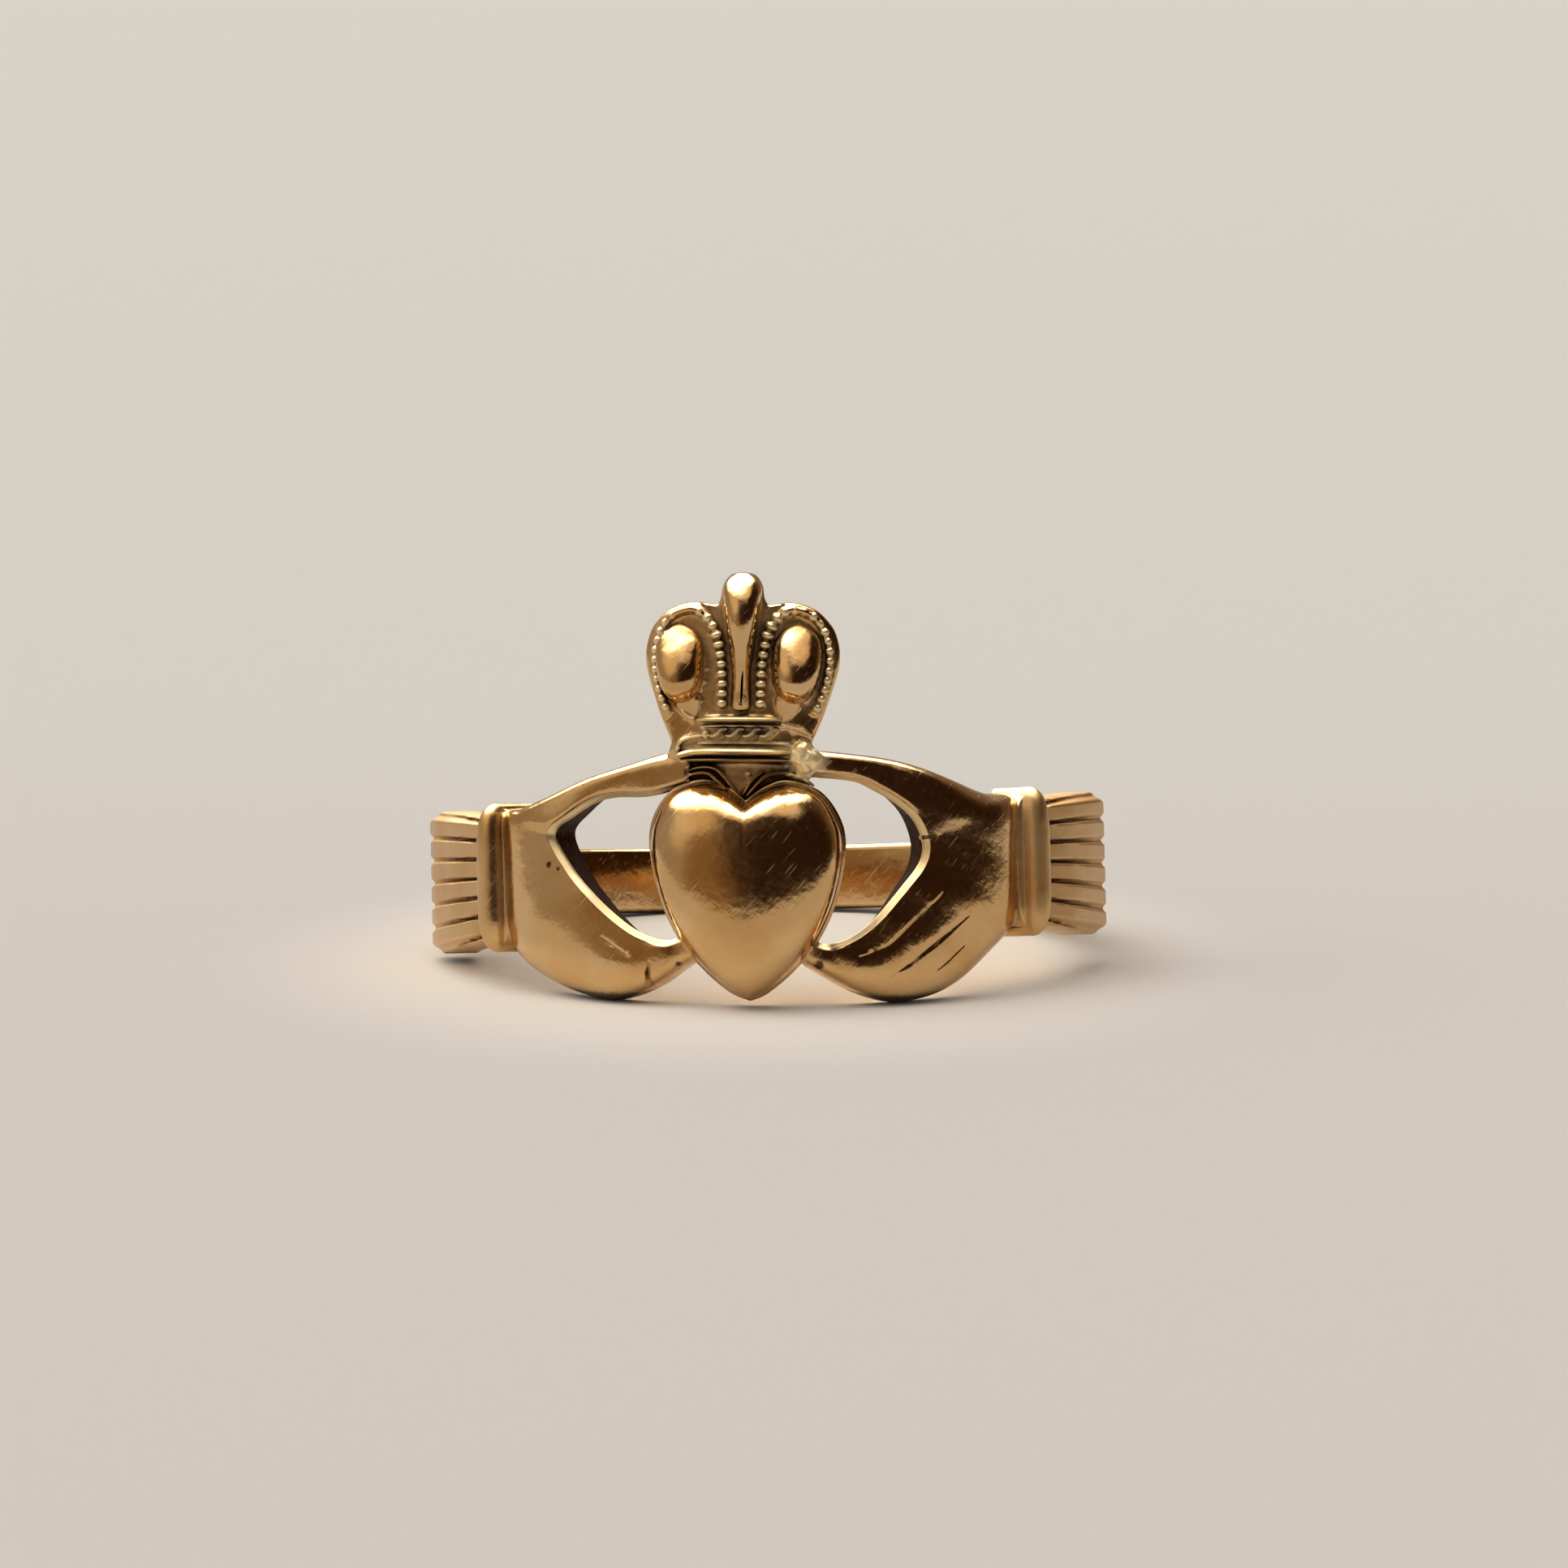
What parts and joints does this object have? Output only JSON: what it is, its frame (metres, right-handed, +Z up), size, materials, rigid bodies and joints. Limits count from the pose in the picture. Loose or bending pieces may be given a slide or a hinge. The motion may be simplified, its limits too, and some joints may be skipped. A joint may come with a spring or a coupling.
{
  "type": "claddagh ring",
  "caption": "Cast gold finger ring: two cuffed hands hold a domed heart under a beaded crown, on a plain half-round band, with open gaps beside the heart.",
  "frame": {"origin": "on the surface that the ring lies on, under the middle of its box", "axes": "+Z up with the ring lying on its side, -Y the way the heart faces, +X to the viewer's right when looking at the heart; the finger hole's axis leans back about 9.5 degrees from +Z and rolls 2 degrees, because the ring rests on both hands and on the back of its band"},
  "size_m": [0.0204, 0.0212, 0.0124],
  "materials": {
    "ring": "worn polished yellow gold with dark tarnish in the hollows"
  },
  "bodies": {
    "root": {"ring": "ring"}
  },
  "joints": []
}
